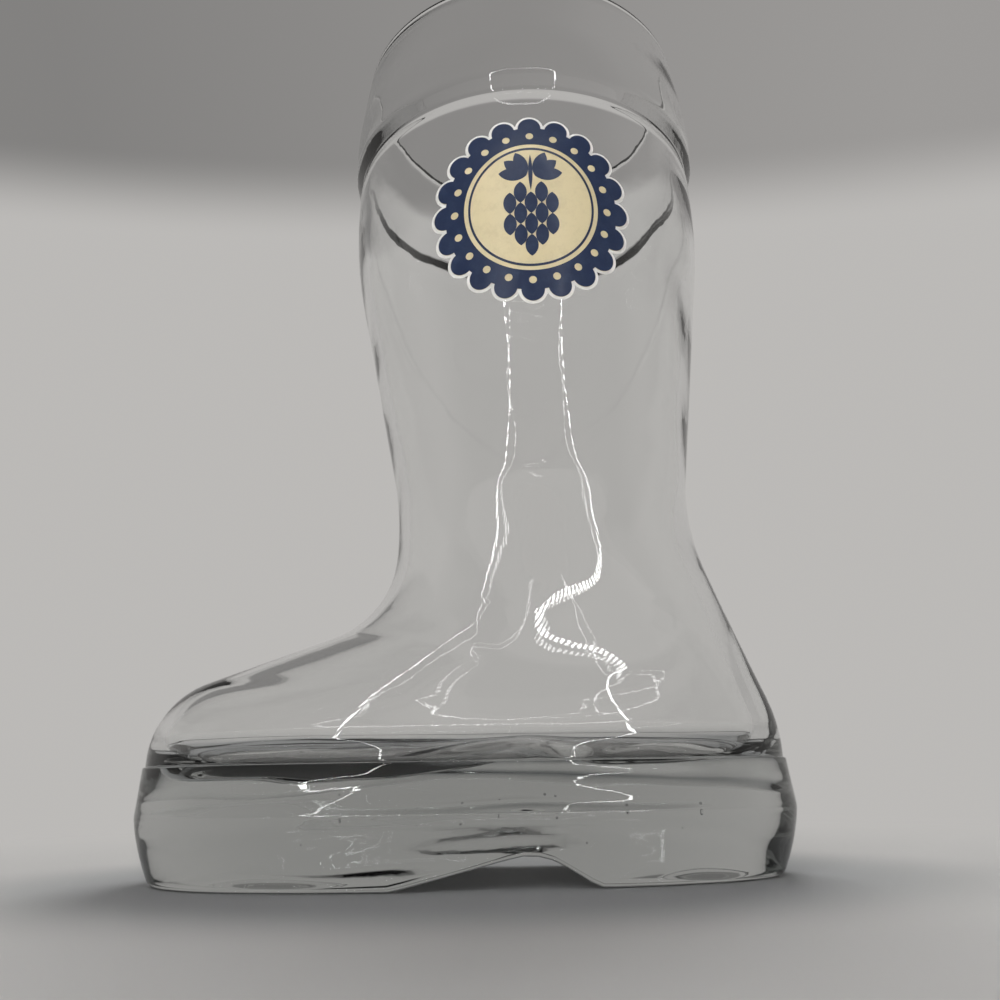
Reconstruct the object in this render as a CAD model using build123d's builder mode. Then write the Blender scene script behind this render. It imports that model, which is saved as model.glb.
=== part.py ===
from build123d import *
import os
from math import copysign, cos, pi, radians, sin, sqrt, tan

# Boot-shaped beer glass, in millimetres. The boot stands on its sole at z = 0, centred on
# its footprint, with the toe towards -X, the heel towards +X and the print facing -Y.

# Whole glass
height = 193.0
foot_length = 136.0

# Collar round the mouth, above the pressed-in crease
collar_height = 31.5
rim_diameter = 80.4
collar_diameter = 86.0
crease_diameter = 83.8
crease_lip = 1.2
collar_shoulder_rise = 3.5
collar_shoulder_radius = 4.0
collar_lean_rise = 12.0
collar_lean_radius = 60.0
rim_round = 0.9
mouth_overrun = 3.0

# Shaft, from the waist over the ankle to the crease
shaft_axis = 15.4
shaft_diameter = 84.8
shaft_bulge_drop = 20.0
bulge_radius = 110.0
waist_diameter = 64.4
waist_height = 77.0
waist_setback = 1.9
waist_radius = 70.0

# Foot: toe cap, sloping vamp, throat in front of the ankle, heel counter behind it
toe_corner_height = 35.6
toe_cap_radius = 16.0
throat_height = 53.0
throat_overhang = 1.6
throat_radius = 22.0
heel_corner_height = 30.0
heel_radius = 30.0
heel_waist_drop = 5.0
heel_waist_radius = 45.0
foot_width = 54.0
instep_width = 50.0
instep_height = 44.0
instep_radius = 45.0
foot_squareness = 2.5
foot_splay = 0.06

# Solid glass sole with its mould seam, its arch and the welt round the upper
sole_thickness = 22.5
sole_width = 58.0
sole_draft = 3.8
sole_crown = 1.5
sole_edge_radius = 2.6
seam_height = 13.3
welt_toe = 1.0
welt_heel = 1.6
welt_top = 0.5
upper_seat = 14.0
arch_rise = 6.6
arch_apex = 14.0
arch_toe_run = 27.0
arch_heel_run = 11.0
arch_radius = 12.0

# Hollow inside, down to the footbed
wall = 2.6
heel_wall = 4.6
footbed_toe = 18.5
footbed_arch = 22.6
footbed_heel = 20.8
footbed_radius = 25.0
footbed_edge_radius = 13.0
footbed_edge_depth = 1.0

# Fired-on print: white, cream and navy ink, each laid on the one below
ink_thickness = 0.1
ink_seat = 0.02
print_drop = 29.5
print_margin = 9.0
badge_radius = 18.0
scallop_count = 20
scallop_radius = 2.4
white_edge = 0.6
border_width = 4.0
bead_count = 20
bead_radius = 0.8
keyline_gap = 0.9
keyline_width = 0.45
bract_length = 4.6
bract_width = 2.7
bract_spacing = 4.4
bract_row_step = 2.3
bract_rows = (2, 3, 2, 3, 2, 1)
cone_top = 5.2
leaf_base = 6.6
leaf_spread = 0.9
leaf_lobe_length = 5.8
leaf_lobe_width = 2.8
leaf_lobe_turns = (22, 52, 82)
stem_base = 3.3
stem_length = 8.2
stem_width = 0.9

# Points in each cross-section, cross-sections in each loft, and the share of a run that arcs may fill
outline_points = 16
upper_sections = 40
cavity_sections = 44
sole_sections = 4
corner_fill = 0.96

# Worked-out places
crease_height = height - collar_height
bulge_height = crease_height - shaft_bulge_drop
print_height = crease_height - print_drop
sole_front = -foot_length / 2
sole_back = foot_length / 2
upper_front = sole_front + welt_toe
upper_back = sole_back - welt_heel
waist_axis = shaft_axis + waist_setback
waist_front = waist_axis - waist_diameter / 2
waist_back = waist_axis + waist_diameter / 2
cavity_floor = footbed_toe - footbed_edge_depth


def fitted_radii(points, radii):
    """Corner radii of a profile, cut down where the runs beside a corner are too short for them."""
    corners = [Vector(*point) for point in points]
    runs = [end - start for start, end in zip(corners, corners[1:])]
    spans = [0.0]
    for radius, before, after in zip(radii, runs, runs[1:]):
        spans.append(radius * tan(radians(before.get_angle(after)) / 2))
    spans.append(0.0)
    fits = [run.length / (start + end) for run, start, end in zip(runs, spans, spans[1:])]
    return [radius * min(1, corner_fill * min(fit)) for radius, *fit in zip(radii, fits, fits[1:])]


def side_line(points, radii):
    """A side profile in the X-Z plane: straight runs joined by tangent arcs, from low to high."""
    with BuildLine(Plane.XZ) as line:
        FilletPolyline(*points, radius=fitted_radii(points, radii))
    return line.wire()


def reach(line, level):
    """How far a rising profile reaches along X at a level."""
    low, high = 0.0, 1.0
    for _ in range(40):
        middle = (low + high) / 2
        if (line @ middle).Z < level:
            low = middle
        else:
            high = middle
    return (line @ low).X


def even_levels(low, high, count):
    """Evenly spaced levels from a low one to a high one, both included."""
    return [low + (high - low) * step / count for step in range(count + 1)]


def rounded(value, squareness):
    """One coordinate of a superellipse; a squareness of 2 gives an ellipse."""
    return copysign(abs(value) ** (2 / squareness), value)


def outline(front, back, half_width, squareness=2.0, splay=0.0):
    """Points of a closed cross-section, wider towards the toe where it is splayed."""
    points = []
    for step in range(outline_points):
        angle = 2 * pi * step / outline_points
        along = rounded(cos(angle), squareness)
        across = rounded(sin(angle), squareness)
        x = (front + back) / 2 + (back - front) / 2 * along
        points.append((x, half_width * across * (1 - splay * along)))
    return points


def foot_share(level):
    """1 at the sole and 0 from the throat upwards: how far a section is still a foot."""
    share = (throat_height - level) / (throat_height - sole_thickness)
    return min(1.0, max(0.0, share))


def upper_outline(lines, level, inset=0.0):
    """Cross-section at a level of the shape that the toe, heel and width lines bound."""
    toe_line, heel_line, width_line = lines
    share = foot_share(level)
    return outline(
        reach(toe_line, level) + inset,
        reach(heel_line, level) - inset,
        reach(width_line, level) - inset,
        2 + (foot_squareness - 2) * share,
        foot_splay * share,
    )


def section_face(level, points):
    """A flat horizontal face with a smooth closed edge."""
    with BuildSketch(Plane.XY.offset(level)) as face:
        with BuildLine():
            Spline(*points, periodic=True)
        make_face()
    return face.sketch


def shaft_points(axis, side):
    """Profile points of the bulge and the crease, on the toe side (-1) or the heel side (1)."""
    return [
        (axis + side * shaft_diameter / 2, bulge_height),
        (axis + side * crease_diameter / 2, crease_height),
    ]


def mouth_points(axis, side):
    """Profile points of the collar, run on past the rim."""
    lean_height = collar_height - collar_lean_rise
    lean = (collar_diameter - rim_diameter) / 2 / lean_height
    return [
        (axis + side * collar_diameter / 2, crease_height + collar_lean_rise),
        (axis + side * (rim_diameter / 2 - lean * mouth_overrun), height + mouth_overrun),
    ]


def inner_line(points, radii, side):
    """A profile moved inwards by the wall, with its arcs about the same centres."""
    corners = [Vector(*point) for point in points]
    runs = [(end - start).normalized() for start, end in zip(corners, corners[1:])]
    inwards = [Vector(run.Y, -run.X) * -side for run in runs]
    moved = [corners[0] + inwards[0] * wall]
    moved_radii = []
    for place in range(1, len(corners) - 1):
        before, after = inwards[place - 1], inwards[place]
        moved.append(corners[place] + (before + after) * (wall / (1 + before.dot(after))))
        turn = runs[place - 1].cross(runs[place]).Z
        moved_radii.append(radii[place - 1] - side * copysign(wall, turn))
    moved.append(corners[-1] + inwards[-1] * wall)
    return side_line([(corner.X, corner.Y) for corner in moved], moved_radii)


toe_points = [
    (upper_front, upper_seat),
    (upper_front, toe_corner_height),
    (waist_front - throat_overhang, throat_height),
    (waist_front, waist_height),
]
toe_radii = [toe_cap_radius, throat_radius, waist_radius, bulge_radius]

heel_points = [
    (upper_back, upper_seat),
    (upper_back, heel_corner_height),
    (waist_back, waist_height - heel_waist_drop),
]
heel_radii = [heel_radius, heel_waist_radius, bulge_radius]
inner_heel_points = [
    (upper_back - heel_wall + wall, upper_seat),
    (upper_back - heel_wall + wall, heel_corner_height),
    (waist_back, waist_height - heel_waist_drop),
]

width_points = [
    (foot_width / 2, upper_seat),
    (instep_width / 2, instep_height),
    (waist_diameter / 2, waist_height),
]
width_radii = [instep_radius, waist_radius, bulge_radius]
mouth_radii = [collar_lean_radius, collar_lean_radius]

upper_lines = (
    side_line(toe_points + shaft_points(shaft_axis, -1), toe_radii),
    side_line(heel_points + shaft_points(shaft_axis, 1), heel_radii),
    side_line(width_points + shaft_points(0, 1), width_radii),
)


def cavity_line(points, radii, axis, side):
    """A profile continued up through the mouth and drawn in by the wall."""
    whole = points + shaft_points(axis, side) + mouth_points(axis, side)
    return inner_line(whole, radii + mouth_radii, side)


cavity_lines = (
    cavity_line(toe_points, toe_radii, shaft_axis, -1),
    cavity_line(inner_heel_points, heel_radii, shaft_axis, 1),
    cavity_line(width_points, width_radii, 0, 1),
)

# Outside of the upper: foot, ankle and shaft in one smooth skin up to the crease
upper_levels = even_levels(upper_seat, crease_height, upper_sections)
upper_faces = []
for level in upper_levels:
    upper_faces.append(section_face(level, upper_outline(upper_lines, level)))
with BuildPart() as upper:
    loft(upper_faces)


def sole_face(level):
    """Cross-section of the sole below its mould seam, drawn in more the lower it is."""
    inset = sole_draft * (1 - level / seam_height) ** sole_crown
    points = outline(
        sole_front + inset, sole_back - inset, sole_width / 2 - inset, foot_squareness, foot_splay
    )
    return section_face(level, points)


# Sole: rounded in from the mould seam down to the table, and drafted in up to the welt
lower_faces = [sole_face(level) for level in even_levels(0, seam_height, sole_sections)]
welt_points = upper_outline(upper_lines, sole_thickness, -welt_top)
with BuildPart() as sole:
    loft(lower_faces)
    loft([lower_faces[-1], section_face(sole_thickness, welt_points)], ruled=True)
    fillet(sole.edges().group_by(Axis.Z)[0], radius=sole_edge_radius)
    with BuildSketch(Plane.XZ):
        with BuildLine():
            arch_points = [
                (arch_apex - arch_toe_run, 0),
                (arch_apex, arch_rise),
                (arch_apex + arch_heel_run, 0),
            ]
            FilletPolyline(*arch_points, radius=fitted_radii(arch_points, [arch_radius]))
            Polyline(
                arch_points[-1],
                (arch_apex + arch_heel_run, -arch_rise),
                (arch_apex - arch_toe_run, -arch_rise),
                arch_points[0],
            )
        make_face()
    extrude(amount=sole_width, both=True, mode=Mode.SUBTRACT)

# Collar: a shoulder out of the crease, then a wall that leans in to the rim
collar_plane = Plane(origin=(shaft_axis, 0, 0), x_dir=(1, 0, 0), z_dir=(0, -1, 0))
with BuildPart() as collar:
    with BuildSketch(collar_plane):
        with BuildLine():
            collar_points = [
                (crease_diameter / 2 - crease_lip, crease_height - crease_lip),
                (collar_diameter / 2, crease_height + collar_shoulder_rise),
                (collar_diameter / 2, crease_height + collar_lean_rise),
                (rim_diameter / 2, height),
            ]
            collar_radii = fitted_radii(collar_points, [collar_shoulder_radius, collar_lean_radius])
            FilletPolyline(*collar_points, radius=collar_radii)
            lip = collar_points[0]
            Polyline(collar_points[-1], (0, height), (0, lip[1]), lip)
        make_face()
    revolve(axis=Axis((shaft_axis, 0, 0), (0, 0, 1)))


def footbed_inset(level):
    """How far the hollow is drawn in by the round edge of the footbed."""
    depth = footbed_edge_radius - (level - cavity_floor)
    if depth <= 0:
        return 0.0
    return footbed_edge_radius - sqrt(footbed_edge_radius ** 2 - depth ** 2)


# Hollow: the upper drawn in by the wall, from the footbed out through the mouth
cavity_low = cavity_floor + footbed_edge_depth / 2
cavity_high = height + mouth_overrun / 2
cavity_faces = []
for level in even_levels(cavity_low, cavity_high, cavity_sections):
    points = upper_outline(cavity_lines, level, footbed_inset(level))
    cavity_faces.append(section_face(level, points))
with BuildPart() as cavity:
    loft(cavity_faces)
    with BuildSketch(Plane.XZ):
        with BuildLine():
            bed_points = [
                (sole_front, footbed_toe),
                (arch_apex - arch_toe_run, footbed_toe),
                (arch_apex, footbed_arch),
                (arch_apex + arch_heel_run, footbed_heel),
                (sole_back, footbed_heel),
            ]
            FilletPolyline(*bed_points, radius=fitted_radii(bed_points, [footbed_radius] * 3))
            Polyline(bed_points[-1], (sole_back, 0), (sole_front, 0), bed_points[0])
        make_face()
    extrude(amount=sole_width, both=True, mode=Mode.SUBTRACT)

with BuildPart() as glass_boot:
    add(upper.part)
    add(sole.part)
    add(collar.part)
    add(cavity.part, mode=Mode.SUBTRACT)
    fillet(glass_boot.faces().sort_by(Axis.Z)[-1].edges(), radius=rim_round)
glass_boot.part.label = "glass_boot"


def print_level(layer):
    """Outside of the shaft round the print, with a number of ink layers laid on it."""
    reach_up = badge_radius + scallop_radius + white_edge + print_margin
    grow = ink_seat + layer * ink_thickness
    faces = []
    for level in upper_levels:
        if abs(level - print_height) < reach_up:
            faces.append(section_face(level, upper_outline(upper_lines, level, -grow)))
    with BuildPart() as skin:
        loft(faces)
    return skin.part


# The shaft with no ink, then with one, two and three layers
print_levels = [print_level(layer) for layer in range(4)]


def ink(shape, layer):
    """A flat shape laid on the shaft as one layer of ink, facing -Y."""
    with BuildPart() as film:
        add(print_levels[layer])
        with BuildSketch(print_plane):
            add(shape)
        extrude(amount=shaft_diameter, mode=Mode.INTERSECT)
        add(print_levels[layer - 1], mode=Mode.SUBTRACT)
    return film.part


def scalloped(grow):
    """The badge's scalloped disc, grown by an edge."""
    with BuildSketch() as disc:
        Circle(badge_radius + grow)
        with PolarLocations(badge_radius, scallop_count):
            Circle(scallop_radius + grow)
    return disc.sketch


def leaf_blade(length, width):
    """A pointed blade that stands up from its base at the origin."""
    with BuildSketch() as blade:
        with BuildLine():
            ThreePointArc((0, 0), (width / 2, length / 2), (0, length))
            ThreePointArc((0, length), (-width / 2, length / 2), (0, 0))
        make_face()
    return blade.sketch


print_plane = Plane(origin=(shaft_axis, 0, print_height), x_dir=(1, 0, 0), z_dir=(0, -1, 0))
field_radius = badge_radius - border_width
keyline_radius = field_radius - keyline_gap

with BuildSketch() as border_shape:
    add(scalloped(0))
    Circle(field_radius, mode=Mode.SUBTRACT)
    with PolarLocations(badge_radius - border_width / 2, bead_count):
        Circle(bead_radius, mode=Mode.SUBTRACT)

with BuildSketch() as keyline_shape:
    Circle(keyline_radius)
    Circle(keyline_radius - keyline_width, mode=Mode.SUBTRACT)

# Hop cone: rows of hanging bracts, each row set between those above it
with BuildSketch() as cone_shape:
    for row, count in enumerate(bract_rows):
        for place in range(count):
            x = (place - (count - 1) / 2) * bract_spacing
            y = cone_top - row * bract_row_step
            with Locations((x, y)):
                add(leaf_blade(bract_length, bract_width), rotation=180)

# Two lobed leaves and the stem above the cone
with BuildSketch() as leaf_shape:
    for turn in leaf_lobe_turns:
        for side in (-1, 1):
            with Locations((side * leaf_spread, leaf_base)):
                add(leaf_blade(leaf_lobe_length, leaf_lobe_width), rotation=-side * turn)

with BuildSketch() as stem_shape:
    with Locations((0, stem_base)):
        add(leaf_blade(stem_length, stem_width))

os.makedirs("parts", exist_ok=True)
export_step(glass_boot.part, "parts/glass_boot.step")
print_layers = (
    ("print_white_base", scalloped(white_edge), 1),
    ("print_cream_field", scalloped(0), 2),
    ("print_navy_border", border_shape.sketch, 3),
    ("print_navy_keyline", keyline_shape.sketch, 3),
    ("print_navy_hop_cone", cone_shape.sketch, 3),
    ("print_navy_hop_leaves", leaf_shape.sketch, 3),
    ("print_navy_stem", stem_shape.sketch, 3),
)
for name, shape, layer in print_layers:
    film = ink(shape, layer)
    film.label = name
    export_step(film, f"parts/{name}.step")
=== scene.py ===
import bpy
import numpy as np
from math import cos, radians, sin
from mathutils import Matrix, Vector


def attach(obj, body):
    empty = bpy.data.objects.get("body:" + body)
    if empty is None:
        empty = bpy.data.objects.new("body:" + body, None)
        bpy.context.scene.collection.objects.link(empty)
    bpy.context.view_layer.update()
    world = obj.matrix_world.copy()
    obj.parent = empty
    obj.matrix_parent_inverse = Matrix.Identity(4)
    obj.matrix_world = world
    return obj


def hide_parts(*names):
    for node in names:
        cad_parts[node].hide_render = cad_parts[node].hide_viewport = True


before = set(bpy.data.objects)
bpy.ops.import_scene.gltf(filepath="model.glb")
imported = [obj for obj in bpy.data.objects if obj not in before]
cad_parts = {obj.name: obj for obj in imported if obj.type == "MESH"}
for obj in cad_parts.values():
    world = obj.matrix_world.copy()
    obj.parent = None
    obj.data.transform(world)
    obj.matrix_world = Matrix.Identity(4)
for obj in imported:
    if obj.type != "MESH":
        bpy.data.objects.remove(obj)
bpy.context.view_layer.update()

MM = 0.001

# Sizes of the glass, in millimetres, as the CAD model has them
HEIGHT = 193.0
FOOT_LENGTH = 136.0
SHAFT_AXIS = 15.4
SHAFT_RADIUS = 42.4
CREASE_HEIGHT = 161.5
CREASE_RADIUS = 41.9
CREASE_DEPTH = 0.6
BULGE_HEIGHT = 141.5
COLLAR_RADIUS = 43.0
COLLAR_SHOULDER = 165.0
COLLAR_LEAN = 173.5
RIM_RADIUS = 40.2
RIM_ROUND = 0.9
WAIST_HEIGHT = 77.0
WAIST_FRONT = SHAFT_AXIS + 1.9 - 32.2
WAIST_BACK = SHAFT_AXIS + 1.9 + 32.2
UPPER_SEAT = 14.0
TOE = -FOOT_LENGTH / 2
HEEL = FOOT_LENGTH / 2
SOLE_TOP = 22.5
SOLE_HALF_WIDTH = 29.0
SOLE_DRAFT = 3.8
SOLE_CROWN = 1.5
SOLE_EDGE = 2.6
SEAM_HEIGHT = 13.3
WELT = 0.5
FOOT_SQUARENESS = 2.5
FOOT_SPLAY = 0.06
THROAT_HEIGHT = 53.0
WALL = 2.6
HEEL_WALL = 4.6
FOOTBED_EDGE = 13.0
FOOTBED_EDGE_TOP = 30.5

# Unevenness of the glass, in millimetres: the crease's fall, the footbed's soft corner, the hollows
# under forefoot and heel (middle, half length, half width), waves of the sole's flanks, bubbles
CREASE_RUN = 5.0
BED_SOFTNESS = 0.8
HOLLOW_DEPTH = 4.5
HOLLOWS = [(-38.0, 23.0, 19.0), (45.0, 16.0, 18.0)]
NEAR_FLANK_WAVE = 0.3
FAR_FLANK_WAVE = 1.3
WAVE_EASE = 3.0
BUBBLE_PATCH = (52.0, 17.0)
BUBBLES_LOW = 8.0
BUBBLES_RISE = 7.0
SMALLEST_BUBBLE = 0.08
LARGEST_BUBBLE = 0.3
BUBBLE_DENSITY = 5000.0
BUBBLE_SEED = 7

# Side profiles as corners (offset, height) with the radius of the arc at each inner corner
TOE_CORNERS = [
    (TOE + 1.0, UPPER_SEAT, 0),
    (TOE + 1.0, 35.6, 16),
    (WAIST_FRONT - 1.6, THROAT_HEIGHT, 22),
    (WAIST_FRONT, WAIST_HEIGHT, 70),
]
HEEL_CORNERS = [
    (HEEL - 1.6, UPPER_SEAT, 0),
    (HEEL - 1.6, 30.0, 30),
    (WAIST_BACK, WAIST_HEIGHT - 5, 45),
]
INNER_HEEL_CORNERS = [
    (HEEL - 1.6 - HEEL_WALL + WALL, UPPER_SEAT, 0),
    (HEEL - 1.6 - HEEL_WALL + WALL, 30.0, 30),
    (WAIST_BACK, WAIST_HEIGHT - 5, 45),
]
WIDTH_CORNERS = [(27.0, UPPER_SEAT, 0), (25.0, 44.0, 45), (32.2, WAIST_HEIGHT, 70)]
ARCH_CORNERS = [(-13.0, 0, 0), (14.0, 6.6, 12), (25.0, 0, 0)]
FOOTBED_CORNERS = [
    (TOE, 18.5, 0),
    (-13.0, 18.5, 25),
    (14.0, 22.6, 25),
    (25.0, 20.8, 25),
    (HEEL, 20.8, 0),
]

# Points round each ring, and the spacing of rings: close over the foot and the collar's shoulder
AROUND = 176
ANGLES = np.arange(AROUND) * 2 * np.pi / AROUND
FOOT_TOP = 64.0
FOOT_STEP = 0.55
SHAFT_STEP = 1.4
SHOULDER_TOP = 168.0
SHOULDER_STEP = 0.35
COLLAR_STEP = 1.1

# Colours of the sheet, of the painted shadow on it round the foot, of the tent's backdrop, its roof and
# its open front
SHEET = (0.47, 0.465, 0.455, 1.0)
SHEET_IN_PAINTED_SHADOW = (0.30, 0.305, 0.308, 1.0)
BACKDROP = (0.50, 0.488, 0.474, 1.0)
OVERHEAD_LEFT = (0.225, 0.22, 0.215, 1.0)
OVERHEAD_RIGHT = (0.33, 0.32, 0.312, 1.0)
FRONT = (0.15, 0.147, 0.143, 1.0)
GLASS_IOR = 1.51

# Ring of small bulbs in front of the glass, in metres: it widens towards its lower end
RING_PLACE = (0.0123, -0.2, 0.131)
RING_FLARE = 2.2
RING_SIZE = (0.126 * RING_FLARE, 0.254)
RING_POWER = 0.3
RING_MIDDLE = 0.95
RING_BREADTH = 0.024
BULBS = 140
BULB_GLOW = 19.0
BULB_GAP_GLOW = 0.6


def shaft_corners(axis, side):
    """Corners of the bulge and the crease on one side of the shaft."""
    return [
        (axis + side * SHAFT_RADIUS, BULGE_HEIGHT, 110),
        (axis + side * CREASE_RADIUS, CREASE_HEIGHT, 60),
    ]


def mouth_corners(axis, side):
    """Corners of the collar, run on past the rim."""
    lean = (COLLAR_RADIUS - RIM_RADIUS) / (HEIGHT - COLLAR_LEAN)
    return [
        (axis + side * COLLAR_RADIUS, COLLAR_LEAN, 60),
        (axis + side * (RIM_RADIUS - 3 * lean), HEIGHT + 3, 0),
    ]


def moved_in(corners, side, wall):
    """A profile moved in towards the axis by the wall, its arcs about the same centres."""
    spots = np.array([corner[:2] for corner in corners])
    runs = np.diff(spots, axis=0)
    runs /= np.linalg.norm(runs, axis=1)[:, None]
    inwards = np.stack([runs[:, 1], -runs[:, 0]], axis=1) * -side
    moved = [(*(spots[0] + inwards[0] * wall), 0)]
    for i in range(1, len(spots) - 1):
        before, after = inwards[i - 1], inwards[i]
        turn = runs[i - 1][0] * runs[i][1] - runs[i - 1][1] * runs[i][0]
        spot = spots[i] + (before + after) * wall / (1 + before @ after)
        moved.append((*spot, corners[i][2] - side * np.sign(turn) * wall))
    moved.append((*(spots[-1] + inwards[-1] * wall), 0))
    return moved


def traced(corners, steps=160):
    """Points along a profile: straight runs joined by arcs, each cut down where its runs are short."""
    spots = np.array([corner[:2] for corner in corners])
    runs = np.diff(spots, axis=0)
    lengths = np.linalg.norm(runs, axis=1)
    runs /= lengths[:, None]
    turns = np.arctan2(
        runs[:-1, 0] * runs[1:, 1] - runs[:-1, 1] * runs[1:, 0], np.sum(runs[:-1] * runs[1:], axis=1)
    )
    wanted = np.array([corner[2] for corner in corners[1:-1]])
    spans = np.concatenate([[0], wanted * np.tan(abs(turns) / 2), [0]])
    room = lengths / (spans[:-1] + spans[1:])
    spans[1:-1] *= np.minimum(1, 0.96 * np.minimum(room[:-1], room[1:]))
    points = [spots[0]]
    for i, turn in enumerate(turns):
        corner, before, after, span = spots[i + 1], runs[i], runs[i + 1], spans[i + 1]
        start = corner - before * span
        radius = span / np.tan(abs(turn) / 2)
        normal = np.array([-before[1], before[0]]) * np.sign(turn)
        for angle in np.linspace(0, abs(turn), steps):
            points.append(start + before * radius * np.sin(angle) + normal * radius * (1 - np.cos(angle)))
    points.append(spots[-1])
    return np.array(points)


def reach(line, level):
    """How far a rising profile reaches at a level."""
    return np.interp(level, line[:, 1], line[:, 0])


def superellipse(front, back, half_width, squareness, splay):
    """One level ring of the glass: x and y for every angle."""
    def power(value):
        return np.sign(value) * np.abs(value) ** (2 / squareness)
    along, across = power(np.cos(ANGLES)), power(np.sin(ANGLES))
    x = (front + back) / 2 + (back - front) / 2 * along
    return x, half_width * across * (1 - splay * along)


def ring(x, y, z):
    """Points of a ring; z may be one level or one for each point."""
    return np.stack([x, y, np.broadcast_to(z, x.shape)], axis=1)


def ripple(level):
    """How the inside wall waves in and out round one level, as blown glass does."""
    rows = 0.09 * np.sin(level / 4.6 + 1.7 * np.sin(2 * ANGLES))
    return rows + 0.08 * np.sin(3 * ANGLES + level / 8.0)


def waved_flank(flank):
    """A ring of the sole drawn in by the waves of its flank, which stay clear of the seam."""
    z = flank[:, 2]
    calm = 1.0
    for clear in (abs(z - SEAM_HEIGHT), SOLE_TOP - z, z):
        calm = calm * np.clip(clear / WAVE_EASE, 0, 1)
    wave = 0.5 + 0.5 * np.sin(0.8 * z + 2.2 * np.sin(2 * ANGLES + 0.7) + 1.3 * np.sin(5 * ANGLES))
    depth = np.where(ANGLES < np.pi, FAR_FLANK_WAVE, NEAR_FLANK_WAVE)
    drawn = depth * calm * wave * np.sin(ANGLES) ** 2
    return flank - np.stack([drawn * np.cos(ANGLES), drawn * np.sin(ANGLES), 0 * z], axis=1)


def swell(x, y):
    """How the footbed rises and falls."""
    return 0.5 * np.sin(x / 6.4 + 0.6) * np.cos(y / 7.5) + 0.35 * np.sin(x / 4.1 - y / 5.6 + 1.1)


def foot_share(level):
    """1 at the sole and 0 from the throat upwards: how far a ring is still a foot."""
    return np.clip((THROAT_HEIGHT - level) / (THROAT_HEIGHT - SOLE_TOP), 0, 1)


def upper_ring(lines, level, inset=0.0):
    """A ring of the shape that the toe, heel and width profiles bound."""
    share = foot_share(level)
    toe, heel, width = (reach(line, level) for line in lines)
    squareness = 2 + (FOOT_SQUARENESS - 2) * share
    x, y = superellipse(toe + inset, heel - inset, width - inset, squareness, FOOT_SPLAY * share)
    return ring(x, y, level)


def sole_ring(level, inset=0.0):
    """A ring of the sole below its seam, drawn in more the lower it is."""
    inset = inset + SOLE_DRAFT * (1 - level / SEAM_HEIGHT) ** SOLE_CROWN
    half_width = SOLE_HALF_WIDTH - inset
    x, y = superellipse(TOE + inset, HEEL - inset, half_width, FOOT_SQUARENESS, FOOT_SPLAY)
    return ring(x, y, level)


def rounded_corner(before, corner, after, size, steps=6):
    """Rings that take a corner ring round, starting and ending a little way along its two sides."""
    def towards(target):
        gap = target - corner
        length = np.linalg.norm(gap, axis=1, keepdims=True)
        return corner + gap * np.minimum(size / length, 0.5)
    start, end = towards(before), towards(after)
    rings = []
    for t in np.linspace(0, 1, steps):
        rings.append(start * (1 - t) ** 2 + corner * 2 * t * (1 - t) + end * t ** 2)
    return rings


def between(start, end, steps):
    """Rings between two rings, without the two themselves."""
    return [start + (end - start) * t for t in np.linspace(0, 1, steps + 2)[1:-1]]


def joined_rings(rings):
    """Points of all rings, and the faces between each ring and the next."""
    points = np.concatenate(rings)
    faces = []
    for row in range(len(rings) - 1):
        low, high = row * AROUND, (row + 1) * AROUND
        for i in range(AROUND):
            j = (i + 1) % AROUND
            faces.append((low + i, low + j, high + j, high + i))
    return points, faces


def capped(points, faces, ring_start, height_at, outside_below, rows=26):
    """Adds a cap of rows across a ring; height_at gives the height of each spot on it."""
    half = AROUND // 2
    edge = points[ring_start:ring_start + AROUND]
    added, index = [], {}
    for i in range(1, half):
        left, right = edge[i], edge[AROUND - i]
        index[i, 0], index[i, rows] = ring_start + i, ring_start + AROUND - i
        for r in range(1, rows):
            spot = left + (right - left) * r / rows
            index[i, r] = len(points) + len(added)
            added.append((spot[0], spot[1], height_at(spot, r / rows)))
    for r in range(rows + 1):
        index[0, r], index[half, r] = ring_start, ring_start + half
    for i in range(half):
        for r in range(rows):
            quad = [index[i, r], index[i, r + 1], index[i + 1, r + 1], index[i + 1, r]]
            quad = list(dict.fromkeys(quad))
            faces.append(tuple(quad if outside_below else reversed(quad)))
    return np.concatenate([points, np.array(added)])


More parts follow.
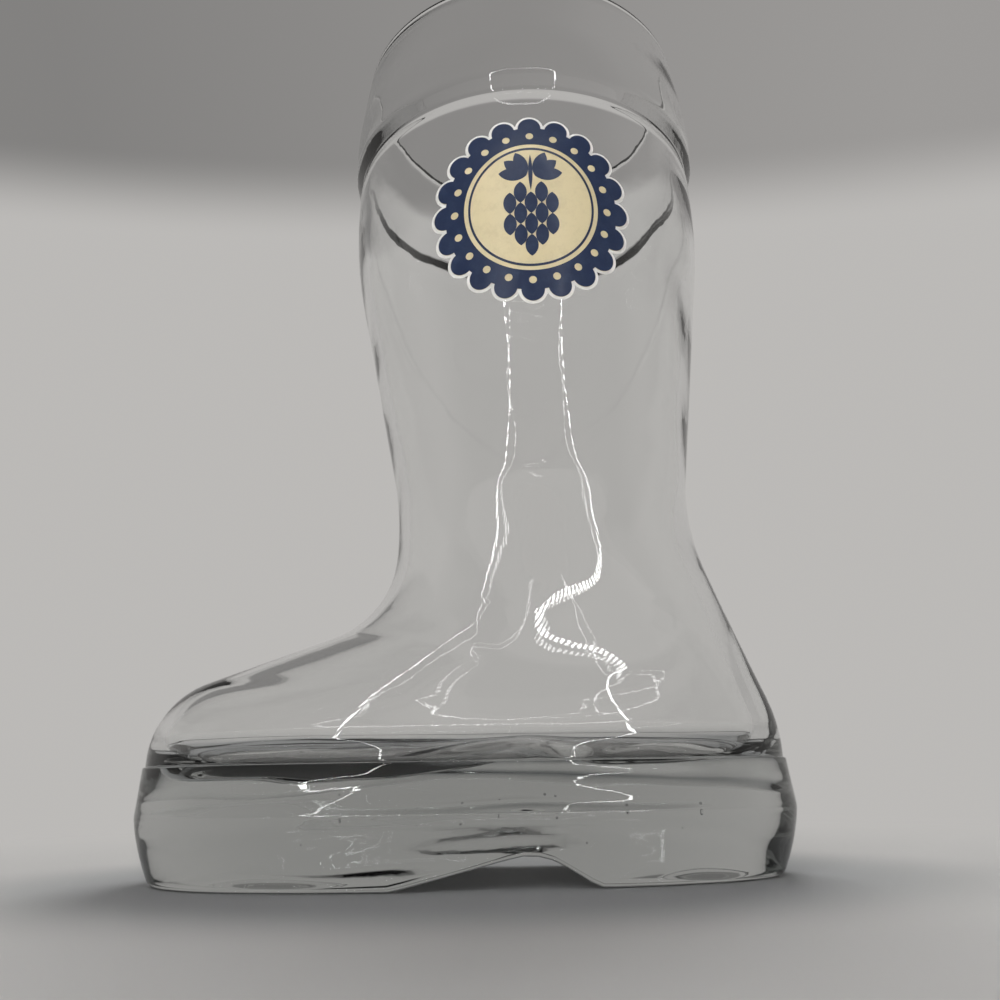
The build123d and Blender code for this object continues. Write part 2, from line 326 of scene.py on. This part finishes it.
def boot_rings():
    """Every ring of the glass, from the sole's edge up the outside, over the rim and down inside."""
    outer = [traced(TOE_CORNERS + shaft_corners(SHAFT_AXIS, -1)),
             traced(HEEL_CORNERS + shaft_corners(SHAFT_AXIS, 1)),
             traced(WIDTH_CORNERS + shaft_corners(0, 1))]
    inner = [traced(moved_in(corners + shaft_corners(axis, side) + mouth_corners(axis, side), side, WALL))
             for corners, axis, side in ((TOE_CORNERS, SHAFT_AXIS, -1),
                                         (INNER_HEEL_CORNERS, SHAFT_AXIS, 1),
                                         (WIDTH_CORNERS, 0, 1))]

    arch = traced(ARCH_CORNERS)
    lift = np.zeros(AROUND)
    for _ in range(4):
        bottom = sole_ring(lift)
        lift = np.interp(bottom[:, 0], arch[:, 0], arch[:, 1])
    bed = sole_ring(lift, SOLE_EDGE)
    bed[:, 2] = np.interp(bed[:, 0], arch[:, 0], arch[:, 1])
    flank = [sole_ring(lift + (SEAM_HEIGHT - lift) * t) for t in np.linspace(0.24, 0.94, 11)]
    seam = sole_ring(np.full(AROUND, SEAM_HEIGHT))
    welt = upper_ring(outer, SOLE_TOP, -WELT)
    seat = upper_ring(outer, SOLE_TOP)
    above = upper_ring(outer, SOLE_TOP + 2)

    rings = [bed]
    rings += rounded_corner(bed, bottom, flank[0], SOLE_EDGE * 0.98, 9)
    rings += flank
    rings += rounded_corner(flank[-1], seam, welt, 0.5)
    rings += between(rings[-1], welt + (seam - welt) * 0.06, 11)
    rings += rounded_corner(seam, welt, seat, 0.3, 4)
    rings += rounded_corner(welt, seat, above, 0.25, 4)
    rings = [waved_flank(sole_part) for sole_part in rings]
    crease_low = CREASE_HEIGHT - CREASE_RUN
    for level in np.arange(SOLE_TOP + 0.6, FOOT_TOP, FOOT_STEP):
        rings.append(upper_ring(outer, level))
    for level in np.arange(FOOT_TOP, crease_low - 1.0, SHAFT_STEP):
        rings.append(upper_ring(outer, level))
    for level in np.linspace(crease_low, CREASE_HEIGHT, 14):
        dip = CREASE_DEPTH * sin((level - crease_low) / CREASE_RUN * np.pi / 2) ** 4
        rings.append(upper_ring(outer, level, dip))

    def turned(radius, z):
        return ring(SHAFT_AXIS + radius * np.cos(ANGLES), radius * np.sin(ANGLES), z)

    collar = traced([
        (CREASE_RADIUS - CREASE_DEPTH, CREASE_HEIGHT, 0),
        (COLLAR_RADIUS, COLLAR_SHOULDER, 4),
        (COLLAR_RADIUS, COLLAR_LEAN, 60),
        (RIM_RADIUS, HEIGHT, 0),
    ])
    shoulder_levels = np.arange(CREASE_HEIGHT + 0.7, SHOULDER_TOP, SHOULDER_STEP)
    collar_levels = np.arange(SHOULDER_TOP, HEIGHT - 1.4, COLLAR_STEP)
    for level in np.concatenate([shoulder_levels, collar_levels]):
        rings.append(turned(reach(collar, level), level))
    lip = turned(RIM_RADIUS, HEIGHT)
    inside = upper_ring(inner, HEIGHT)
    inside_below = upper_ring(inner, HEIGHT - 3)
    rings += rounded_corner(rings[-1], lip, inside, RIM_ROUND, 8)
    rings += rounded_corner(lip, inside, inside_below, RIM_ROUND, 8)

    shaft_levels = np.arange(HEIGHT - 1.8, FOOT_TOP, -SHAFT_STEP)
    foot_levels = np.arange(FOOT_TOP, FOOTBED_EDGE_TOP, -FOOT_STEP)
    for level in np.concatenate([shaft_levels, foot_levels]):
        rings.append(upper_ring(inner, level, ripple(level)))
    footbed = traced(FOOTBED_CORNERS)
    floor = np.full(AROUND, 20.0)
    for _ in range(4):
        edge = bed_edge_ring(inner, floor)
        floor = np.interp(edge[:, 0], footbed[:, 0], footbed[:, 1])
    drop = FOOTBED_EDGE_TOP - floor
    sweep = []
    for t in np.linspace(0, np.pi / 2, 22):
        sweep.append(bed_edge_ring(inner, FOOTBED_EDGE_TOP - drop * np.sin(t)))
    inner_bed = edge + (edge.mean(axis=0) - edge) * 0.06
    inner_bed[:, 2] = np.interp(inner_bed[:, 0], footbed[:, 0], footbed[:, 1])
    rings += sweep[:-3]
    rings += rounded_corner(sweep[-6], edge, inner_bed, BED_SOFTNESS, 6)
    rings.append(inner_bed)
    return rings, arch, footbed


def bed_edge_ring(inner, level):
    """A ring of the round edge where the inside wall runs into the footbed."""
    depth = FOOTBED_EDGE_TOP - level
    inset = FOOTBED_EDGE - np.sqrt(FOOTBED_EDGE ** 2 - depth ** 2)
    return upper_ring(inner, level, ripple(level) + inset)


def mesh_piece(name, points, faces, material):
    """A smooth-shaded piece of the glass, in metres, riding on the one body."""
    mesh = bpy.data.meshes.new(name)
    mesh.from_pydata((points * MM).tolist(), [], faces)
    mesh.polygons.foreach_set("use_smooth", [True] * len(mesh.polygons))
    mesh.materials.append(material)
    mesh.update()
    piece = bpy.data.objects.new(name, mesh)
    bpy.context.scene.collection.objects.link(piece)
    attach(piece, "root")
    return piece


class Shade:
    """A shader socket that takes part in Python sums; each sum adds a Math node."""

    def __init__(self, tree, socket):
        self.tree, self.socket = tree, socket

    def node(self, kind, settings=None, output=0, **inputs):
        """Adds a node of any kind: its settings first, then its sockets by name or number."""
        node = self.tree.nodes.new(kind)
        for key, value in (settings or {}).items():
            setattr(node, key, value)
        for key, value in inputs.items():
            numbered = key[1:].isdigit()
            socket = node.inputs[int(key[1:]) if numbered else key.replace("_", " ")]
            if isinstance(value, Shade):
                self.tree.links.new(value.socket, socket)
            else:
                socket.default_value = value
        return Shade(self.tree, node.outputs[output] if node.outputs else None)

    def maths(self, operation, first, second):
        """Adds one Math node."""
        return self.node("ShaderNodeMath", {"operation": operation}, _0=first, _1=second)

    def mixed(self, share, first, second):
        """Adds a node that mixes two colours."""
        return self.node("ShaderNodeMix", {"data_type": "RGBA"}, output=2, _0=share, _6=first, _7=second)

    def __add__(self, other):
        return self.maths("ADD", self, other)

    def __sub__(self, other):
        return self.maths("SUBTRACT", self, other)

    def __rsub__(self, other):
        return self.maths("SUBTRACT", other, self)

    def __mul__(self, other):
        return self.maths("MULTIPLY", self, other)

    def __truediv__(self, other):
        return self.maths("DIVIDE", self, other)

    __radd__ = __add__
    __rmul__ = __mul__


def start_tree(tree):
    """Empties a node tree and returns a Shade to build it from."""
    tree.nodes.clear()
    return Shade(tree, None)


def glass_material():
    """Clear moulded glass: faint waves, mould chill, smears, and a grey cast where it is thick."""
    material = bpy.data.materials.new("clear_glass_finish")
    material.use_nodes = True
    base = start_tree(material.node_tree)
    place = base.node("ShaderNodeTexCoord", output=3)
    waves = base.node("ShaderNodeTexNoise", Vector=place, Scale=42.0, Detail=1.5, Roughness=0.45)
    chill = base.node("ShaderNodeTexNoise", Vector=place, Scale=260.0, Detail=2.0, Roughness=0.5)
    smears = base.node("ShaderNodeTexNoise", Vector=place, Scale=70.0, Detail=5.0, Roughness=0.62)
    smear = base.node("ShaderNodeMapRange", Value=smears, From_Min=0.52, From_Max=0.75)
    drawn_out = base.node("ShaderNodeVectorMath", {"operation": "MULTIPLY"}, _0=place, _1=(1.0, 1.0, 3.2))
    streaks = base.node("ShaderNodeTexNoise", Vector=drawn_out, Scale=30.0, Detail=0.5, Roughness=0.4)
    height = base.node("ShaderNodeSeparateXYZ", output=2, Vector=place)
    low = base.node("ShaderNodeMapRange", {"interpolation_type": "SMOOTHSTEP"}, Value=height,
                    From_Min=0.027, From_Max=0.019)
    relief = waves * 0.35 + chill * 0.01 + streaks * low * 1.6
    bump = base.node("ShaderNodeBump", Height=relief, Strength=1.0, Distance=0.001)
    shader = base.node(
        "ShaderNodeBsdfPrincipled",
        Base_Color=(0.985, 0.986, 0.984, 1.0),
        Roughness=smear * 0.05,
        IOR=GLASS_IOR,
        Transmission_Weight=1.0,
        Normal=bump,
    )
    body = base.node("ShaderNodeVolumeAbsorption", Color=(0.71, 0.72, 0.715, 1.0), Density=46.0)
    base.node("ShaderNodeOutputMaterial", Surface=shader, Volume=body)
    return material


def ink_material(name, colour, thin_colour, roughness):
    """Screen-printed enamel: a mottled film with the mesh's fine grain and a few pinholes."""
    material = bpy.data.materials.new(name)
    material.use_nodes = True
    base = start_tree(material.node_tree)
    place = base.node("ShaderNodeTexCoord", output=3)
    mottle = base.node("ShaderNodeTexNoise", Vector=place, Scale=420.0, Detail=4.0, Roughness=0.6)
    grain = base.node("ShaderNodeTexNoise", Vector=place, Scale=2600.0, Detail=2.0, Roughness=0.5)
    pores = base.node("ShaderNodeTexVoronoi", {"feature": "F1"}, Vector=place, Scale=900.0, Randomness=1.0)
    pinhole = base.node("ShaderNodeMapRange", Value=pores, From_Min=0.12, From_Max=0.06)
    thin = base.node("ShaderNodeMapRange", Value=mottle + grain * 0.4, From_Min=0.66, From_Max=0.98)
    tone = base.mixed(thin * 0.55 + pinhole * 0.3, colour, thin_colour)
    relief = grain + mottle * 0.5 - pinhole * 0.6
    bump = base.node("ShaderNodeBump", Height=relief, Strength=0.25, Distance=0.00006)
    shader = base.node(
        "ShaderNodeBsdfPrincipled",
        Base_Color=tone,
        Roughness=roughness + thin * 0.18,
        IOR=1.5,
        Coat_Weight=0.15,
        Coat_Roughness=0.12,
        Normal=bump,
    )
    base.node("ShaderNodeOutputMaterial", Surface=shader)
    return material


def floor_material(backdrop):
    """Pale sheet with a painted shadow round the foot, that runs out into the colour of the backdrop."""
    material = bpy.data.materials.new("pale_sheet_painted_shadow")
    material.use_nodes = True
    base = start_tree(material.node_tree)
    place = base.node("ShaderNodeTexCoord", output=3)
    far = base.node("ShaderNodeVectorMath", {"operation": "LENGTH"}, output=1, _0=place)
    fade = base.node("ShaderNodeMapRange", {"interpolation_type": "SMOOTHSTEP"}, Value=far,
                     From_Min=0.075, From_Max=0.24)
    # Painted shadow: the sheet's colour darkens inside an ellipse round the foot, where the glass's shadow
    # would fall
    round_foot = base.node(
        "ShaderNodeVectorMath", {"operation": "MULTIPLY"}, _0=place, _1=(13.0, 20.0, 0.0)
    )
    beside = base.node("ShaderNodeVectorMath", {"operation": "LENGTH"}, output=1, _0=round_foot)
    clear_of_painted_shadow = base.node("ShaderNodeMapRange", {"interpolation_type": "SMOOTHSTEP"}, Value=beside,
                           From_Min=0.85, From_Max=1.6)
    tone = base.mixed(clear_of_painted_shadow, SHEET_IN_PAINTED_SHADOW, SHEET)
    sheet = base.node("ShaderNodeBsdfPrincipled", Base_Color=tone, Roughness=0.8)
    glow = base.node("ShaderNodeEmission", Color=backdrop, Strength=1.0)
    surface = base.node("ShaderNodeMixShader", _0=fade, _1=sheet, _2=glow)
    base.node("ShaderNodeOutputMaterial", Surface=surface)
    return material


# World: an even pale backdrop that darkens overhead and in the opening in front, as a light tent does
world = bpy.data.worlds.new("light_tent")
bpy.context.scene.world = world
world.use_nodes = True
tent = start_tree(world.node_tree)
direction = tent.node("ShaderNodeTexCoord", output=0)
sideways = tent.node("ShaderNodeSeparateXYZ", output=0, Vector=direction)
forwards = tent.node("ShaderNodeSeparateXYZ", output=1, Vector=direction)
upwards = tent.node("ShaderNodeSeparateXYZ", output=2, Vector=direction)
level = forwards * forwards + sideways * sideways * 0.3
steepness = upwards / tent.maths("POWER", level + 0.0001, 0.5)
overhead = tent.node("ShaderNodeMapRange", {"interpolation_type": "SMOOTHSTEP"}, Value=steepness,
                     From_Min=0.67, From_Max=0.80)
camera_ray = tent.node("ShaderNodeLightPath", output=0)
diffuse_ray = tent.node("ShaderNodeLightPath", output=2)
opening = tent.node("ShaderNodeMapRange", {"interpolation_type": "SMOOTHSTEP"}, Value=forwards,
                    From_Min=-0.15, From_Max=-0.6)
to_right = tent.node("ShaderNodeMapRange", Value=sideways, From_Min=-0.4, From_Max=0.4)
overhead_tone = tent.mixed(to_right, OVERHEAD_LEFT, OVERHEAD_RIGHT)
back_tone = tent.mixed(overhead * (1 - diffuse_ray), BACKDROP, overhead_tone)
tent_tone = tent.mixed(opening * (1 - diffuse_ray) * (1 - camera_ray), back_tone, FRONT)
tent_glow = tent.node("ShaderNodeBackground", Color=tent_tone, Strength=1 - diffuse_ray * 0.45)
tent.node("ShaderNodeOutputWorld", Surface=tent_glow)


def bubble_material():
    """Air inside the glass: the skin of a bubble, a little dull in places."""
    material = bpy.data.materials.new("bubble_skin")
    material.use_nodes = True
    base = start_tree(material.node_tree)
    place = base.node("ShaderNodeTexCoord", output=3)
    dull = base.node("ShaderNodeTexNoise", Vector=place, Scale=900.0, Detail=2.0, Roughness=0.5)
    shader = base.node(
        "ShaderNodeBsdfPrincipled",
        Base_Color=(1.0, 1.0, 1.0, 1.0),
        Roughness=dull * 0.03,
        IOR=1 / GLASS_IOR,
        Transmission_Weight=1.0,
    )
    base.node("ShaderNodeOutputMaterial", Surface=shader)
    return material


def scattered_bubbles(material):
    """Bubbles strewn over a flat patch inside the sole, each at a height and of a size of its own."""
    turns = np.linspace(0, 2 * np.pi, 48, endpoint=False)
    length, width = BUBBLE_PATCH
    patch = [(length * MM * cos(t), width * MM * sin(t), BUBBLES_LOW * MM) for t in turns]
    mesh = bpy.data.meshes.new("bubble_patch")
    mesh.from_pydata(patch, [], [tuple(range(48))])
    host = bpy.data.objects.new("bubble_patch", mesh)
    bpy.context.scene.collection.objects.link(host)

    tree = bpy.data.node_groups.new("strewn_bubbles", "GeometryNodeTree")
    tree.interface.new_socket("Patch", in_out="INPUT", socket_type="NodeSocketGeometry")
    sockets = {}
    for name, kind in (
        ("Density", "NodeSocketFloat"),
        ("Rise", "NodeSocketVector"),
        ("Smallest", "NodeSocketFloat"),
        ("Largest", "NodeSocketFloat"),
        ("Seed", "NodeSocketInt"),
    ):
        sockets[name] = tree.interface.new_socket(name, in_out="INPUT", socket_type=kind).identifier
    tree.interface.new_socket("Bubbles", in_out="OUTPUT", socket_type="NodeSocketGeometry")
    base = Shade(tree, None)

    def given(name):
        """One of the group's inputs."""
        return base.node("NodeGroupInput", output=["Patch", *sockets].index(name))

    spots = base.node("GeometryNodeDistributePointsOnFaces", Mesh=given("Patch"), Density=given("Density"),
                      Seed=given("Seed"))
    lifts = base.node("FunctionNodeRandomValue", {"data_type": "FLOAT_VECTOR"}, _0=(0.0, 0.0, 0.0),
                      _1=given("Rise"), Seed=given("Seed"))
    spots = base.node("GeometryNodeSetPosition", Geometry=spots, Offset=lifts)
    sizes = base.node("FunctionNodeRandomValue", {"data_type": "FLOAT"}, output=1, _2=given("Smallest"),
                      _3=given("Largest"), Seed=given("Seed"))
    ball = base.node("GeometryNodeMeshIcoSphere", Radius=1.0, Subdivisions=3)
    ball = base.node("GeometryNodeSetShadeSmooth", Geometry=ball)
    strewn = base.node("GeometryNodeInstanceOnPoints", Points=spots, Instance=ball, Scale=sizes)
    solid = base.node("GeometryNodeRealizeInstances", Geometry=strewn)
    done = base.node("GeometryNodeSetMaterial", Geometry=solid, Material=material)
    base.node("NodeGroupOutput", _0=done)

    modifier = host.modifiers.new("strewn_bubbles", "NODES")
    modifier.node_group = tree
    for name, value in (
        ("Density", BUBBLE_DENSITY),
        ("Rise", (0.0, 0.0, BUBBLES_RISE * MM)),
        ("Smallest", SMALLEST_BUBBLE * MM),
        ("Largest", LARGEST_BUBBLE * MM),
        ("Seed", BUBBLE_SEED),
    ):
        modifier[sockets[name]] = value
    bpy.context.view_layer.update()
    finished = bpy.data.meshes.new_from_object(host.evaluated_get(bpy.context.evaluated_depsgraph_get()))
    finished.name = "sole_bubbles"
    host.modifiers.clear()
    bpy.data.objects.remove(host)
    piece = bpy.data.objects.new("sole_bubbles", finished)
    bpy.context.scene.collection.objects.link(piece)
    return piece


def underside(spot):
    """Height of the sole's underside: the arch, and the hollows under forefoot and heel."""
    hollow = 0.0
    for middle, half_length, half_width in HOLLOWS:
        out = ((spot[0] - middle) / half_length) ** 2 + (spot[1] / half_width) ** 2
        hollow += HOLLOW_DEPTH * max(0.0, 1 - out)
    return np.interp(spot[0], arch_line[:, 0], arch_line[:, 1]) + hollow


def footbed_top(spot, share):
    """Height of the footbed, which is a little uneven away from its edges."""
    fade = 1 - (2 * share - 1) ** 4
    return np.interp(spot[0], footbed_line[:, 0], footbed_line[:, 1]) + swell(spot[0], spot[1]) * fade


# The glass itself
boot_glass = glass_material()
rings, arch_line, footbed_line = boot_rings()
points, faces = joined_rings(rings)
last_ring = (len(rings) - 1) * AROUND
points = capped(points, faces, 0, lambda spot, share: underside(spot), True)
points = capped(points, faces, last_ring, footbed_top, False)
boot = mesh_piece("moulded_glass_boot", points, faces, boot_glass)
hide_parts("glass_boot")

# Small bubbles left in the thick glass of the sole
bubbles = scattered_bubbles(bubble_material())
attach(bubbles, "root")

# The fired-on print keeps its own films
white_ink = ink_material("white_enamel", (0.80, 0.79, 0.76, 1), (0.62, 0.62, 0.60, 1), 0.38)
cream_ink = ink_material("cream_enamel", (0.70, 0.60, 0.37, 1), (0.58, 0.49, 0.30, 1), 0.36)
navy_ink = ink_material("navy_enamel", (0.014, 0.026, 0.070, 1), (0.035, 0.055, 0.11, 1), 0.32)
for node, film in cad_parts.items():
    for key, ink in (("white", white_ink), ("cream", cream_ink), ("navy", navy_ink)):
        if key in node:
            film.data.materials.clear()
            film.data.materials.append(ink)

# Floor
bpy.ops.mesh.primitive_circle_add(vertices=96, radius=4.0, fill_type="NGON", location=(0, 0, 0))
sheet = bpy.context.object
sheet.name = "pale_sheet"
sheet.data.transform(Matrix.Translation((0, 0, -0.00015)))
sheet.data.materials.append(floor_material(BACKDROP))


def lamp(name, place, aim, size, power, in_glass=False):
    """A soft lamp aimed at a point, out of the camera's own sight."""
    light = bpy.data.lights.new(name, "AREA")
    light.shape = "RECTANGLE"
    light.size, light.size_y = size
    light.energy = power
    stand = bpy.data.objects.new(name, light)
    bpy.context.scene.collection.objects.link(stand)
    look = Vector(aim) - Vector(place)
    stand.rotation_euler = look.to_track_quat("-Z", "Y").to_euler()
    stand.location = place
    stand.visible_camera = False
    stand.visible_glossy = in_glass
    stand.visible_transmission = in_glass
    return stand


def ring_of_bulbs(stand):
    """Lights only a ring of a lamp's face, broken up into small bright spots."""
    light = stand.data
    light.use_nodes = True
    base = start_tree(light.node_tree)
    place = base.node("ShaderNodeNewGeometry", output=5)
    along = base.node("ShaderNodeSeparateXYZ", output=0, Vector=place) * 2 - 1
    above = base.node("ShaderNodeSeparateXYZ", output=1, Vector=place) * 2 - 1
    spread = base.node("ShaderNodeMapRange", {"interpolation_type": "SMOOTHSTEP"}, Value=above,
                       From_Min=-0.05, From_Max=-0.7, To_Min=1.0, To_Max=RING_FLARE)
    along = along * RING_FLARE / spread
    across, upward = along * along, above * above
    out = base.maths("POWER", across * across + upward * upward, 0.25)
    off_ring = base.maths("ABSOLUTE", out - RING_MIDDLE, 0.0)
    on_ring = base.maths("LESS_THAN", off_ring, RING_BREADTH)
    turn = base.maths("ARCTAN2", above, along) / (2 * np.pi)
    lit = base.maths("LESS_THAN", base.maths("FRACT", turn * BULBS + BULBS, 0.0), 0.5)
    glow = base.node("ShaderNodeEmission", Strength=on_ring * (lit * BULB_GLOW + BULB_GAP_GLOW))
    base.node("ShaderNodeOutputLight", Surface=glow)


# A ring of small bulbs in front of the glass, which its skin mirrors as bright lines
ring_aim = (RING_PLACE[0], 0, RING_PLACE[2])
ring_lamp = lamp("ring_lamp", RING_PLACE, ring_aim, RING_SIZE, RING_POWER, True)
ring_of_bulbs(ring_lamp)
lamp("front_softbox", (-0.35, -0.9, 0.6), (0, 0, 0.09), (0.7, 0.7), 5.0)
lamp("back_softbox", (0.1, 0.55, 0.6), (0, 0, 0.05), (0.5, 0.5), 5.0)

# Camera at the photograph's viewing angle
PITCH = radians(17.5)
ROLL = radians(-1.0)
camera_data = bpy.data.cameras.new("view")
camera_data.lens = 31.68
camera_data.sensor_width = 36.0
camera_data.clip_start = 0.005
camera = bpy.data.objects.new("view", camera_data)
bpy.context.scene.collection.objects.link(camera)
rise = np.array([0, -sin(PITCH), cos(PITCH)])
across = np.array([1.0, 0, 0])
right = cos(ROLL) * across + sin(ROLL) * rise
up = -sin(ROLL) * across + cos(ROLL) * rise
ahead = np.array([0, cos(PITCH), sin(PITCH)])
camera.matrix_world = Matrix((
    (right[0], up[0], -ahead[0], 0.0079),
    (right[1], up[1], -ahead[1], -0.1961),
    (right[2], up[2], -ahead[2], 0.0194),
    (0, 0, 0, 1),
))
bpy.context.scene.camera = camera

bpy.context.scene.view_settings.view_transform = "Standard"
